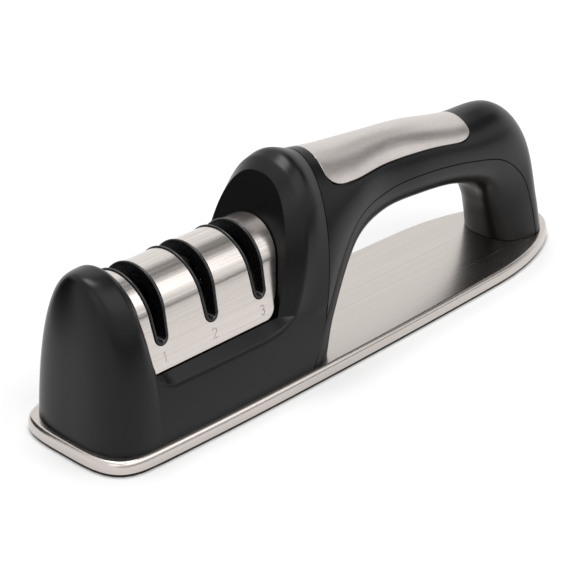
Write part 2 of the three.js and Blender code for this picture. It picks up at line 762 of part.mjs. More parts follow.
// Stages two and three: a pair of bevelled wheels on a turning axle
const wheelKinds = [['diamond', diamondGrit], ['ceramic', whiteCeramic]];
wheelKinds.forEach(([kind, material], i) => {
  const stage = new THREE.Group();
  stage.position.set(wheelStages[i], 0, axleHeight);
  const reach = wheelReach + fitGap + bearingWall;
  addPart(`${kind}_axle`, alongX(axleRadius, -reach, reach, 0), zincSteel, stage);
  const rear = addPart(`${kind}_wheel_rear`, sharpeningWheel(), material, stage);
  rear.position.x = turnGap;
  rear.rotation.z = -Math.PI / 2;
  const front = addPart(`${kind}_wheel_front`, sharpeningWheel(), material, stage);
  front.position.x = -turnGap;
  front.rotation.z = Math.PI / 2;
  model.add(stage);
});

// Handle
const inlayPocket = solid(inlayBody(fitGap, overcut, inlaySheet + fitGap));
const shell = handleHalf(crownStations, 'crown', shellExponent, [tailScrewPlace], [inlayPocket]);
const liner = handleHalf(loopStations, 'loop', linerExponent, legScrewPlaces, []);
addPart('handle_shell', shell, blackAbs);
addPart('handle_liner', liner, blackAbs);
addPart('grip_inlay', inlayBody(0, 0, inlaySheet), brushedSteel);

// Screws driven up through the base plate
const screwKinds = [
  ['head_screw', headScrewPlaces],
  ['leg_screw', legScrewPlaces],
  ['tail_screw', [tailScrewPlace]],
  ['carrier_screw', carrierScrewPlaces],
];
for (const [kind, places] of screwKinds) {
  places.forEach(([x, y], i) => {
    const piece = addPart(`${kind}_${i + 1}`, screw(), zincSteel);
    piece.position.set(x, y, screwSeat);
    piece.rotation.x = Math.PI / 2;
  });
}

export default model;
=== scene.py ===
"""Pull-through knife sharpener on a white table: its looks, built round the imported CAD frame.

Lengths in the formulas are millimetres, and piece() turns them into metres. The studio is in metres.
"""

import bmesh
import bpy
import numpy as np
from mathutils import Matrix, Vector


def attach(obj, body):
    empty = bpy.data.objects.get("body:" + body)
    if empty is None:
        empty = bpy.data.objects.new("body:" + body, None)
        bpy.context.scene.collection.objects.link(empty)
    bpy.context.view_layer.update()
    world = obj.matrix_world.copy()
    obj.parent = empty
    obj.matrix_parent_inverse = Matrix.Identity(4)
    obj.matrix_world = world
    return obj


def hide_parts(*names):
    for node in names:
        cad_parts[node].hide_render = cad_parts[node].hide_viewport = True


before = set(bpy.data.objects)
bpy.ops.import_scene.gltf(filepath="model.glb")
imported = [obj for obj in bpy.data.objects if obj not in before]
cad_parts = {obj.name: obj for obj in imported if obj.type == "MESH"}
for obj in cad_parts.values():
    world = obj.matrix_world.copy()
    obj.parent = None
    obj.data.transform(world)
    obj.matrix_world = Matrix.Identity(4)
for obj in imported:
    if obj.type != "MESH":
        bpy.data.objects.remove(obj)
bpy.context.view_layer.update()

MM = 0.001
FIT_GAP = 0.3
QUARTER = np.pi / 2

# Base plate
PLATE_FRONT = -120.0
PLATE_TAIL = 120.0
PLATE_HALF = 27.0
PLATE_WIDEST = 70.0
PLATE_FRONT_NARROWING = 1.8
PLATE_TAIL_NARROWING = 4.0
NOSE_DEPTH = 20.8
NOSE_EXPONENT = 3.8
TAIL_DEPTH = 52.0
PLATE_TOP = 5.3
PLATE_RIM = 2.2
PLATE_RIM_REACH = 1.5
PLATE_BOTTOM = 1.0
PLATE_LOWER_RADIUS = 0.4
UNDERSIDE_INSET = 2.5
FLAT_INSET = 0.5

# Head housing
FOOT = 5.4
HEAD_MARGIN = 2.5
HEAD_TOP = 57.7
HEAD_EXPONENT = 2.08
HEAD_NOSE_EXPONENT = 3.1
HEAD_RISE_EXPONENT = 12.0
HEAD_LEAN = 0.09
HEAD_WALL = 2.4
HEAD_BEVEL = 0.6
HEAD_CREASE = 20.0
CAP_RISE = 2.9
CAP_RUN = 5.0
CAP_EXPONENT = 2.25
CAP_ROUND = 1.6
CAP_BAND = 2.0
SHOULDER = 23.6
SILL = 27.1
SILL_HALF = 18.4
NOSE_SHOULDER = PLATE_FRONT + NOSE_DEPTH
SADDLE_SETBACK = 0.5
SADDLE_LENGTH = 56.0
SADDLE_FRONT = NOSE_SHOULDER + SADDLE_SETBACK
SADDLE_REAR = SADDLE_FRONT + SADDLE_LENGTH
STEP = 0.2
LEDGE_RADIUS = 8.0
LEDGE_RISE = 1.7
LEDGE_RUN = 9.0
EDGE_ROUND = 1.2
GROOVE_WIDTH = 0.5
GROOVE_DEPTH = 0.9
CAP_LOW = SHOULDER + LEDGE_RADIUS
CAP_HIGH = CAP_LOW + CAP_BAND
FACE_TOP = 70.2
FACE_SWEEP = 10.6
RIM_TOP = 73.6
RIM_SWEEP = 9.8
RIM_SETBACK = 5.0
RIM_LIFT = 3.0
RIM_ROUND = 0.2
COLUMN_EXPONENT = 2.35
RIDGE_TOP = 75.2
RIDGE_RUN = 5.0
RIDGE_EXPONENT = 2.2
WINDOW_HALF = 10.9

# Steel cover and slots
COVER_RADIUS = 14.5
COVER_CENTRE = 41.8
COVER_FLARE = np.radians(13.0)
COVER_SHEET = 0.8
COVER_FOOT = SILL + FIT_GAP
COVER_FRONT_ROUND = 3.0
COVER_REAR_ROUND = 4.5
COVER_BEVEL = 0.22
FIRST_SLOT = 7.6
SLOT_PITCH = 21.6
SLOTS = SADDLE_FRONT + FIRST_SLOT + SLOT_PITCH * np.arange(3)
SLOT_END = 3.0
SLOT_TOP = 4.4
SLOT_END_CENTRE = 38.0
SLOT_TOP_HEIGHT = 57.8
LIP_PROUD = 0.5
LIP_WIDTH = 1.0
CHANNEL = 4.4
CORE_SKIN = COVER_SHEET + FIT_GAP
CORE_WALL = 1.6

# Handle
COLLAR_TOP = 73.0
COLLAR_LEAN = 0.157
COLLAR_SETBACK = 11.9
COLLAR_FOOT = SADDLE_REAR + COLLAR_SETBACK
COLLAR_RUN = 6.8
COLLAR_TURN = COLLAR_FOOT + COLLAR_RUN
COLLAR_JOINT = 21.5
COLLAR_EXPONENT = 2.0
LEG_SETBACK = 17.5
LEG_FOOT = PLATE_TAIL - LEG_SETBACK
HANDLE_WALL = 2.4
HANDLE_BEVEL = 0.18
SHELL_EXPONENT = 2.0
LINER_EXPONENT = 2.4
GRIP_HALF = 13.0
SHOULDER_HALF = 17.0
LEG_HALF = 14.6
LAST_STATION = 9.0

# Grip inlay: its ends are stations of the handle, its drops lie under the crown
INLAY_SHEET = 1.2
INLAY_CLEAR = 0.05
INLAY_GAP = 0.5
INLAY_BEVEL = 0.25
INLAY_FRONT = 1.27
INLAY_REAR = 5.02
INLAY_FRONT_ROUND = 0.5
INLAY_REAR_ROUND = 0.35
INLAY_FRONT_DROP = 10.0
INLAY_REAR_DROP = 6.8
INLAY_FRONT_CORNER = 5.0
INLAY_REAR_CORNER = 3.6

# Printed numerals
NUMERAL_HEIGHT = 3.2
NUMERAL_STROKE = 0.34
NUMERAL_FOOT = 29.8
INK_PROUD = 0.03
INK_ROOT = 0.2
MITRE_LIMIT = 0.6


# Materials
ABS_GRAIN = 0.25
ABS_GRAIN_DEPTH = 0.02
LIP_WEAR = 1.67
HAIR_NOISE = (0.25, 0.75)
HAIR_ROUGHNESS = 0.06
HAIR_DEPTH = 0.1
RIM_GRAIN_DEPTHS = (0.3, 0.1)
SPECKLE_DEPTH = 0.1

# Numbers of a Mix node's colour sockets, whose names it shares among its kinds of data
MIX_FROM = 6
MIX_TO = 7
MIX_COLOUR = 2


def linear(code):
    """Linear RGBA of an sRGB hex code."""
    channels = np.array([int(code[i:i + 2], 16) for i in (1, 3, 5)]) / 255
    low = channels / 12.92
    high = ((channels + 0.055) / 1.055) ** 2.4
    return (*np.where(channels <= 0.04045, low, high).tolist(), 1.0)


def node(tree, kind, settings=None, inputs=None):
    """Adds a node, sets its properties and its sockets; a socket given as an input takes a link."""
    made = tree.nodes.new(kind)
    for key, value in (settings or {}).items():
        setattr(made, key, value)
    for key, value in (inputs or {}).items():
        if isinstance(value, bpy.types.NodeSocket):
            tree.links.new(value, made.inputs[key])
        else:
            made.inputs[key].default_value = value
    return made


def new_material(name):
    """Empty node material with a shader and the object's own coordinates in millimetres."""
    material = bpy.data.materials.new(name)
    material.use_nodes = True
    tree = material.node_tree
    shader = tree.nodes["Principled BSDF"]
    place = node(tree, "ShaderNodeTexCoord").outputs["Object"]
    scaled = node(tree, "ShaderNodeVectorMath", {"operation": "SCALE"}, {0: place, "Scale": 1 / MM})
    return material, tree, shader, scaled.outputs["Vector"]


def abs_material():
    """Injection-moulded ABS from a finely spark-eroded tool: a satin black with a soft broad sheen.

    The tool's grain is some hundredths of a millimetre, so it is drawn at ABS_GRAIN to show at all.
    The index is under the 1.54 of bare ABS, as the grain scatters a part of the gloss.
    """
    material, tree, shader, place = new_material("black_abs_satin")
    shader.inputs["Base Color"].default_value = linear("#070708")
    shader.inputs["Roughness"].default_value = 0.3
    shader.inputs["IOR"].default_value = 1.34
    grain = node(tree, "ShaderNodeTexNoise", None,
                 {"Vector": place, "Scale": 1 / ABS_GRAIN, "Detail": 2.0})
    bump = node(tree, "ShaderNodeBump", None, {
        "Height": grain.outputs["Fac"],
        "Strength": 0.06,
        "Distance": ABS_GRAIN_DEPTH * MM,
    })
    tree.links.new(bump.outputs["Normal"], shader.inputs["Normal"])
    return material


def lip_material():
    """The same black ABS from a polished part of the tool: glossier, so the lips catch thin lights.

    Use rubs it duller in patches about LIP_WEAR across.
    """
    material, tree, shader, place = new_material("black_abs_gloss")
    shader.inputs["Base Color"].default_value = linear("#0a0a0b")
    wear = node(tree, "ShaderNodeTexNoise", None,
                {"Vector": place, "Scale": 1 / LIP_WEAR, "Detail": 3.0})
    rough = node(tree, "ShaderNodeMapRange", None,
                 {"Value": wear.outputs["Fac"], "To Min": 0.2, "To Max": 0.34})
    tree.links.new(rough.outputs["Result"], shader.inputs["Roughness"])
    return material


def brushed_material(name, colour, roughness, hair, contrast, rim_top=None):
    """Stainless sheet drawn under an abrasive belt along its length: long fine scratches that
    spread each reflection across the grain and leave it crisp along it.

    Hair is a scratch's length and width. Real ones are some hundredths of a millimetre wide, too
    fine for the picture, so they are drawn as coarse as they need to show. Under rim_top, the height
    of a flat top, they follow a rolled rim, which is brushed along its own run.
    """
    material, tree, shader, place = new_material(name)
    shader.inputs["Metallic"].default_value = 1.0
    along, across = 1 / hair[0], 1 / hair[1]
    scale = (along, across, across)
    if rim_top is not None:
        height = node(tree, "ShaderNodeSeparateXYZ", None, {"Vector": place}).outputs["Z"]
        turned = node(tree, "ShaderNodeMapRange", None, {
            "Value": height,
            "From Min": rim_top - RIM_GRAIN_DEPTHS[0],
            "From Max": rim_top - RIM_GRAIN_DEPTHS[1],
            "To Min": along,
            "To Max": across,
        })
        scale = node(tree, "ShaderNodeCombineXYZ", None,
                     {"X": along, "Y": turned.outputs["Result"], "Z": across}).outputs["Vector"]
    stretch = node(tree, "ShaderNodeVectorMath", {"operation": "MULTIPLY"}, {0: place, 1: scale})
    scratch = node(tree, "ShaderNodeTexNoise", None, {
        "Vector": stretch.outputs["Vector"],
        "Scale": 1.0,
        "Detail": 3.0,
        "Roughness": 0.6,
    }).outputs["Fac"]
    tint = node(tree, "ShaderNodeMapRange", None,
                {"Value": scratch, "From Min": HAIR_NOISE[0], "From Max": HAIR_NOISE[1]})
    base = np.array(linear(colour)[:3])
    shade = node(tree, "ShaderNodeMix", {"data_type": "RGBA"}, {
        "Factor": tint.outputs["Result"],
        MIX_FROM: (*(base * (1 - contrast)).tolist(), 1.0),
        MIX_TO: (*(base * (1 + contrast)).clip(0, 1).tolist(), 1.0),
    })
    rough = node(tree, "ShaderNodeMapRange", None, {
        "Value": scratch,
        "To Min": roughness - HAIR_ROUGHNESS,
        "To Max": roughness + HAIR_ROUGHNESS,
    })
    bump = node(tree, "ShaderNodeBump", None,
                {"Height": scratch, "Strength": 0.35, "Distance": HAIR_DEPTH * contrast * MM})
    tree.links.new(shade.outputs[MIX_COLOUR], shader.inputs["Base Color"])
    tree.links.new(rough.outputs["Result"], shader.inputs["Roughness"])
    tree.links.new(bump.outputs["Normal"], shader.inputs["Normal"])
    return material


def speckled_material(name, colours, roughness, metallic, grain):
    """Surface of pressed or bonded grains, seen as a fine speckle of two close shades.

    Grain is the size of a speckle. Where the real one is too fine for the picture, it is drawn coarser.
    """
    material, tree, shader, place = new_material(name)
    shader.inputs["Metallic"].default_value = metallic
    shader.inputs["Roughness"].default_value = roughness
    speckle = node(tree, "ShaderNodeTexNoise", None,
                   {"Vector": place, "Scale": 1 / grain, "Detail": 3.0}).outputs["Fac"]
    shade = node(tree, "ShaderNodeMix", {"data_type": "RGBA"}, {
        "Factor": speckle,
        MIX_FROM: linear(colours[0]),
        MIX_TO: linear(colours[1]),
    })
    bump = node(tree, "ShaderNodeBump", None,
                {"Height": speckle, "Strength": 0.3, "Distance": SPECKLE_DEPTH * grain * MM})
    tree.links.new(shade.outputs[MIX_COLOUR], shader.inputs["Base Color"])
    tree.links.new(bump.outputs["Normal"], shader.inputs["Normal"])
    return material


ABS = abs_material()
LIPS = lip_material()
# Cover: belt-brushed stainless whose scratches stand out, so its bands of light are streaked
COVER_STEEL = brushed_material("stainless_brushed", "#d6cfca", 0.24, (83.0, 0.385), 0.19)
# Plate: the same steel with a finer brushing, so it mirrors the leg
PLATE_STEEL = brushed_material("stainless_plate", "#ccc5c0", 0.25, (83.0, 0.455), 0.06, PLATE_TOP)
# Inlay: short satin scratches, so its light is soft
INLAY_STEEL = brushed_material("stainless_satin", "#d2cbc7", 0.32, (4.0, 0.385), 0.08)
# Moulded rubber sole: matt, almost black, with a slight bloom in small clouds
RUBBER = speckled_material("rubber_sole", ("#161617", "#1e1e1f"), 0.85, 0.0, 0.8)
# Zinc-plated screws, axles and rivet: pale grey with a dull metallic light
ZINC = speckled_material("zinc_plated_steel", ("#a2a4a7", "#b4b6b8"), 0.38, 1.0, 1.2)
# Ground tungsten carbide: dark grey metal, its grain drawn coarser so that it shows
CARBIDE = speckled_material("tungsten_carbide", ("#6c6d70", "#7d7e80"), 0.34, 1.0, 0.5)
# Diamond grit bonded to steel: a rough grey sparkle
DIAMOND = speckled_material("diamond_grit", ("#6f6e6b", "#a3a29e"), 0.62, 0.5, 0.15)
# Sintered ceramic: matt off-white, its grain drawn coarser so that it shows
CERAMIC = speckled_material("sintered_ceramic", ("#e6e1d6", "#f0ece3"), 0.58, 0.0, 0.4)
# Numerals pad-printed in grey ink on the steel: flat and a little uneven
INK = speckled_material("grey_print", ("#a09a96", "#aba5a1"), 0.6, 0.0, 0.6)


# Meshes from grids
MERGE_DISTANCE = 0.002
DEGENERATE_LENGTH = 0.001
BEVEL_SEGMENTS = 3
CREASE = 38.0


def closed_shell(outer, inner, keep=None):
    """Points and quads of a wall between two grids of rows and columns.

    Cells where keep is false are left open, and every open border gets a side wall.
    """
    rows, columns = outer.shape[:2]
    count = rows * columns
    index = np.arange(count).reshape(rows, columns)
    cells = np.stack([index[:-1, :-1], index[:-1, 1:], index[1:, 1:], index[1:, :-1]], axis=-1)
    keep = np.ones((rows - 1, columns - 1), bool) if keep is None else keep
    padded = np.pad(keep, 1)
    before, after = padded[:-1, 1:-1], padded[1:, 1:-1]
    left, right = padded[1:-1, :-1], padded[1:-1, 1:]
    along = np.stack([index[:, :-1], index[:, 1:]], axis=-1)
    across = np.stack([index[:-1], index[1:]], axis=-1)
    border = np.concatenate([
        along[after & ~before],
        along[before & ~after][:, ::-1],
        across[right & ~left][:, ::-1],
        across[left & ~right],
    ])
    walls = np.column_stack([border[:, 1], border[:, 0], border[:, 0] + count, border[:, 1] + count])
    quads = np.concatenate([cells[keep], cells[keep][:, ::-1] + count, walls])
    return np.concatenate([outer.reshape(-1, 3), inner.reshape(-1, 3)]), quads


def closed_tube(grid, wrap_rows):
    """Points and quads of a grid whose columns close into a ring, and whose rows may close too."""
    rows, columns = grid.shape[:2]
    index = np.arange(rows * columns).reshape(rows, columns)
    index = np.column_stack([index, index[:, 0]])
    if wrap_rows:
        index = np.vstack([index, index[:1]])
    cells = np.stack([index[:-1, :-1], index[:-1, 1:], index[1:, 1:], index[1:, :-1]], axis=-1)
    return grid.reshape(-1, 3), cells.reshape(-1, 4)


def joined(parts):
    """One list of points and one of quads from several."""
    starts = np.cumsum([0] + [len(points) for points, _ in parts[:-1]])
    points = np.concatenate([part[0] for part in parts])
    return points, np.concatenate([part[1] + start for part, start in zip(parts, starts)])


def piece(name, shape, material, nodes, caps=(), bevel=0.0, crease=CREASE):
    """Object from points and quads: seams merged, faces turned outwards, sharp edges softened."""
    points, quads = shape
    mesh = bpy.data.meshes.new(name)
    faces = quads.tolist() + [list(cap) for cap in caps]
    mesh.from_pydata((points * MM).tolist(), [], faces)
    work = bmesh.new()
    work.from_mesh(mesh)
    bmesh.ops.remove_doubles(work, verts=work.verts, dist=MERGE_DISTANCE * MM)
    bmesh.ops.dissolve_degenerate(work, edges=work.edges, dist=DEGENERATE_LENGTH * MM)
    bmesh.ops.recalc_face_normals(work, faces=work.faces)
    if work.calc_volume(signed=True) < 0:
        bmesh.ops.reverse_faces(work, faces=work.faces)
    work.to_mesh(mesh)
    work.free()
    mesh.shade_smooth()
    mesh.materials.append(material)
    made = bpy.data.objects.new(name, mesh)
    bpy.context.collection.objects.link(made)
    if bevel:
        soften = made.modifiers.new("soften", "BEVEL")
        soften.width = bevel * MM
        soften.segments = BEVEL_SEGMENTS
        soften.limit_method = "ANGLE"
        soften.angle_limit = np.radians(crease)
        soften.use_clamp_overlap = True
        soften.harden_normals = True
    else:
        mesh.set_sharp_from_angle(angle=np.radians(crease))
    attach(made, "sharpener")
    if nodes:
        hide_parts(*nodes)


# Base plate, with the points along each part of its outline and its rim
PLATE_NOSE_POINTS = 40
PLATE_SIDE_POINTS = 30
PLATE_TAIL_POINTS = 48
PLATE_ROLL_POINTS = 12
PLATE_LOWER_POINTS = 5


def plate_half(x):
    """Half width of the plate: widest a little behind the nose, narrowing by a square law both ways."""
    run = x - PLATE_FRONT - PLATE_WIDEST
    ahead = run < 0
    reach = np.where(ahead, PLATE_WIDEST, PLATE_TAIL - PLATE_FRONT - PLATE_WIDEST)
    narrowing = np.where(ahead, PLATE_FRONT_NARROWING, PLATE_TAIL_NARROWING)
    return PLATE_HALF - narrowing * np.minimum(np.abs(run) / reach, 1) ** 2


def plate_rings(inset, height):
    """Closed rings round the plate: a superellipse nose, bowed sides and an elliptical tail."""
    nose = np.linspace(QUARTER, 0, PLATE_NOSE_POINTS)[:, None]
    front_x = NOSE_SHOULDER - (NOSE_DEPTH - inset) * np.sin(nose) ** (2 / NOSE_EXPONENT)
    front_y = (plate_half(front_x) - inset) * np.cos(nose) ** (2 / NOSE_EXPONENT)
    tail_centre = PLATE_TAIL - TAIL_DEPTH
    side_x = np.linspace(NOSE_SHOULDER, tail_centre, PLATE_SIDE_POINTS)[1:-1, None] + 0 * inset
    side_y = plate_half(side_x) - inset
    tail = np.linspace(0, QUARTER, PLATE_TAIL_POINTS)[:, None]
    rear_x = tail_centre + (TAIL_DEPTH - inset) * np.sin(tail)
    rear_y = (plate_half(rear_x) - inset) * np.cos(tail)
    x = np.concatenate([front_x, side_x, rear_x])
    y = np.concatenate([front_y, side_y, rear_y])
    x = np.concatenate([x, x[-2:0:-1]]).T
    y = np.concatenate([-y, y[-2:0:-1]]).T
    return np.stack([x, y, np.broadcast_to(height[:, None], x.shape)], axis=-1)


def base_plate():
    """Rim profile carried round the outline: a small lower edge, an upright side and a rolled top."""
    turn = np.linspace(0, QUARTER, PLATE_ROLL_POINTS)
    low = np.linspace(-QUARTER, 0, PLATE_LOWER_POINTS)
    inset = np.concatenate([
        [UNDERSIDE_INSET],
        PLATE_LOWER_RADIUS * (1 - np.cos(low)),
        PLATE_RIM_REACH * (1 - np.cos(turn)),
        [PLATE_RIM_REACH + FLAT_INSET],
    ])
    height = np.concatenate([
        [PLATE_BOTTOM],
        PLATE_BOTTOM + PLATE_LOWER_RADIUS * (1 + np.sin(low)),
        PLATE_TOP - PLATE_RIM * (1 - np.sin(turn)),
        [PLATE_TOP],
    ])
    rings = plate_rings(inset, height)
    columns = rings.shape[1]
    last = (len(rings) - 1) * columns
    caps = [np.arange(columns)[::-1].tolist(), (last + np.arange(columns)).tolist()]
    shape = closed_tube(rings, False)
    piece("plate", shape, PLATE_STEEL, ["base_plate"], caps)


# Head housing, with the points of a section from foot to crown and the rows of each part of the skin
LOW_POINTS = 12
LEDGE_POINTS = 10
WINDOW_COLUMN = 12
WINDOW_POINTS = 20
NOSE_ROWS = 56
CAP_EDGE_ROWS = 8
LEDGE_ROWS = 13
FLOOR_ROWS = 12
RIM_ROWS = 6
BAND_STEPS = 12
RIM_END_ROW = 2

LOW_SHARE = np.linspace(0, 1, LOW_POINTS)
LEDGE_SHARE = np.linspace(0, 1, LEDGE_POINTS)[1:-1]
WINDOW_SHARE = 1 - WINDOW_HALF / SILL_HALF
TOP_SHARE = np.concatenate([
    np.linspace(0, WINDOW_SHARE, WINDOW_COLUMN, endpoint=False),
    np.linspace(WINDOW_SHARE, 1, WINDOW_POINTS),
])


def head_half(x):
    """Half width of the head's foot: the plate's, less a margin."""
    return plate_half(x) - HEAD_MARGIN


def wall_half(x, z, crown=HEAD_TOP, exponent=HEAD_EXPONENT):
    """Half width of the head's wall at a height: a superellipse standing on its foot."""
    share = np.clip((z - FOOT) / (crown - FOOT), 0, 1)
    return head_half(x) * (1 - share ** exponent) ** (1 / exponent)


def arch(half, springing, crown, exponent, share, start=None):
    """Superellipse from a start height to its crown, at shares of the turn from side to top."""
    start = springing if start is None else start
    first = np.arcsin(np.clip((start - springing) / (crown - springing), 0, 1) ** (exponent / 2))
    angle = first + (QUARTER - first) * share
    y = half * np.cos(angle).clip(0) ** (2 / exponent)
    return y, springing + (crown - springing) * np.sin(angle) ** (2 / exponent)


def round_lift(distance, radius):
    """Height of a round corner at a distance from the end wall that it rises to."""
    share = np.clip(1 - distance / radius, 0, 1)
    return radius * (1 - np.sqrt(1 - share ** 2))


def ledge_lift(x):
    """Height of the recess's edge above the shoulder: a round corner in front, a parabola behind."""
    rear = np.clip(1 - (SADDLE_REAR - x) / LEDGE_RUN, 0, 1)
    return round_lift(x - SADDLE_FRONT, LEDGE_RADIUS) + LEDGE_RISE * rear ** 2


def whole_ring(low, ledge, top):
    """Near half of a section from foot to crown, then its mirror image down to the other foot."""
    y = np.concatenate([low[0], ledge[0], top[0]])
    z = np.concatenate([low[1], ledge[1], top[1]])
    return np.concatenate([-y, y[-2::-1]]), np.concatenate([z, z[-2::-1]])


def low_wall(x, inset, top, crown=HEAD_TOP, exponent=HEAD_EXPONENT):
    """Part of the head's wall from its foot up to a height, in equal steps of height."""
    z = FOOT + (top - FOOT) * LOW_SHARE
    return wall_half(x, z, crown, exponent) - inset, z


def between(low, top):
    """Straight run from the last point of the low wall to the first of the upper part."""
    y = low[0][-1] + (top[0][0] - low[0][-1]) * LEDGE_SHARE
    return y, low[1][-1] + (top[1][0] - low[1][-1]) * LEDGE_SHARE


def bend(start, corner, end, share):
    """Quadratic Bezier from start to end, drawn towards the corner."""
    return (1 - share) ** 2 * start + 2 * share * (1 - share) * corner + share ** 2 * end


def cap_ring(x, inset, swell):
    """Section of the cap: one superellipse from foot to crown; swell lifts the crown and squares it."""
    crown = HEAD_TOP + CAP_RISE * swell
    exponent = HEAD_EXPONENT + (CAP_EXPONENT - HEAD_EXPONENT) * swell
    low = low_wall(x, inset, CAP_LOW, crown, exponent)
    z = CAP_LOW + (CAP_HIGH - CAP_LOW) * LEDGE_SHARE
    ledge = wall_half(x, z, crown, exponent) - inset, z
    top = arch(head_half(x) - inset, FOOT, crown - inset, exponent, TOP_SHARE, CAP_HIGH)
    return whole_ring(low, ledge, top)


def saddle_edge(x, inset):
    """Low wall of the recess and its upper edge, rounded from the wall to the ledge."""
    height = SHOULDER + ledge_lift(x)
    low = low_wall(x, inset, height - EDGE_ROUND)
    start = np.array([low[0][-1], low[1][-1]])
    corner = np.array([wall_half(x, height) - inset, height])
    run = np.array([SILL_HALF + GROOVE_WIDTH - inset, SILL - inset]) - corner
    end = corner + run * EDGE_ROUND / np.linalg.norm(run)
    share = np.linspace(0, 1, LEDGE_SHARE.size + 1)[1:, None]
    return low, bend(start, corner, end, share).T


def saddle_ring(x, inset):
    """Section of the recess: a low wall, a sloping ledge and a sunk floor under the cover."""
    low, ledge = saddle_edge(x, inset)
    sunk = GROOVE_DEPTH * (TOP_SHARE > 0)
    top = (SILL_HALF + GROOVE_WIDTH - inset) * (1 - TOP_SHARE), SILL - inset - sunk
    return whole_ring(low, ledge, top)


def column_ring(x, inset, half, crown, exponent, springing=SILL, lift=0.0):
    """Section of the column: a low wall, a straight run and an arch; lift raises the wall's top."""
    low = low_wall(x, inset, SHOULDER + lift)
    top = arch(half - inset, springing, crown - inset, exponent, TOP_SHARE, SILL)
    return whole_ring(low, between(low, top), top)


def rise_share(z, crown):
    """Share of the way from the sill to a crown."""
    return np.clip((z - SILL) / (crown - SILL), 0, 1)


def column_face(x, z):
    """Place along X of the column's face, which leans back in a straight line from the sill."""
    return x + FACE_SWEEP * rise_share(z, FACE_TOP)


def column_rim(x, z):
    """Place along X of the column's rim, which sweeps back in a parabola that ends upright."""
    return x + RIM_SWEEP * (1 - (1 - rise_share(z, RIM_TOP)) ** 2)


def collar_plane(z):
    """Rear end of the head: it leans back above the handle's joint and runs forward to its foot."""
    below = COLLAR_FOOT + COLLAR_RUN * (z - FOOT) / (COLLAR_JOINT - FOOT)
    return np.where(z >= COLLAR_JOINT, COLLAR_TURN + COLLAR_LEAN * (z - COLLAR_JOINT), below)


def eased_rows(rows, steps):
    """Rows between given rows on a Catmull-Rom curve through each column's points."""
    rows = np.asarray(rows)
    padded = np.concatenate([2 * rows[:1] - rows[1:2], rows, 2 * rows[-1:] - rows[-2:-1]])
    t = np.linspace(0, 1, steps, endpoint=False)[:, None, None]
    spans = []
    for a, b, c, d in zip(padded, padded[1:], padded[2:], padded[3:]):
        cubic = 2 * b + (c - a) * t + (2 * a - 5 * b + 4 * c - d) * t ** 2
        spans.append((cubic + (3 * b - a - 3 * c + d) * t ** 3) / 2)
    return np.concatenate(spans + [rows[-1:]])


def row(x, ring):
    """Points of a section at a place along X, or at one for each of its points."""
    y, z = ring
    return np.stack([np.broadcast_to(x, z.shape), y, z], axis=-1)


def nose_rows(inset):
    """Rows round the nose: the cap's section, its width, height and reach each a superellipse."""
    shoulder = NOSE_SHOULDER - inset
    depth = shoulder - PLATE_FRONT - HEAD_MARGIN - inset
    rows = []
    for width in np.sin(np.linspace(0, QUARTER, NOSE_ROWS))[:-1]:
        along = (1 - width ** HEAD_NOSE_EXPONENT) ** (1 / HEAD_NOSE_EXPONENT)
        rise = (1 - along ** HEAD_RISE_EXPONENT) ** (1 / HEAD_RISE_EXPONENT)
        swell = 1 - (1 - min(1, depth * along / CAP_RUN)) ** 2
        y, z = cap_ring(NOSE_SHOULDER, inset, swell)
        z = FOOT + (z - FOOT) * rise
        x = shoulder - along * (depth - HEAD_LEAN * (z - FOOT))
        rows.append(row(x, (y * width, z)))
    return rows


def cap_edge_rows(inset):
    """Rows over the cap's rear edge: a quarter turn that draws the section in, most at its crown."""
    rows = []
    for angle in np.linspace(0, QUARTER, CAP_EDGE_ROWS):
        x = SADDLE_FRONT - inset - STEP - CAP_ROUND * (1 - np.sin(angle))
        swell = 1 - (1 - max(0, NOSE_SHOULDER - inset - x) / CAP_RUN) ** 2
        y, z = cap_ring(NOSE_SHOULDER, inset, swell)
        high = np.clip((z - CAP_LOW) / (HEAD_TOP - CAP_LOW), 0, 1)
        drawn_in = CAP_ROUND * (1 - np.cos(angle)) * np.sqrt(high) / head_half(x)
        rows.append(row(x, (y * (1 - drawn_in), z)))
    return rows


def saddle_rows(inset):
    """Rows of the recess, close together where its edge rises to the ends."""
    front = SADDLE_FRONT - inset
    rear = SADDLE_REAR + inset
    turn = 1 - np.cos(np.linspace(0, QUARTER, LEDGE_ROWS))
    stations = np.concatenate([
        front + (LEDGE_RADIUS + inset) * turn,
        np.linspace(SADDLE_FRONT + LEDGE_RADIUS, SADDLE_REAR - LEDGE_RUN, FLOOR_ROWS)[1:-1],
        (rear - (LEDGE_RUN + inset) * turn)[::-1],
    ])
    return [row(x, saddle_ring(x, inset)) for x in stations]


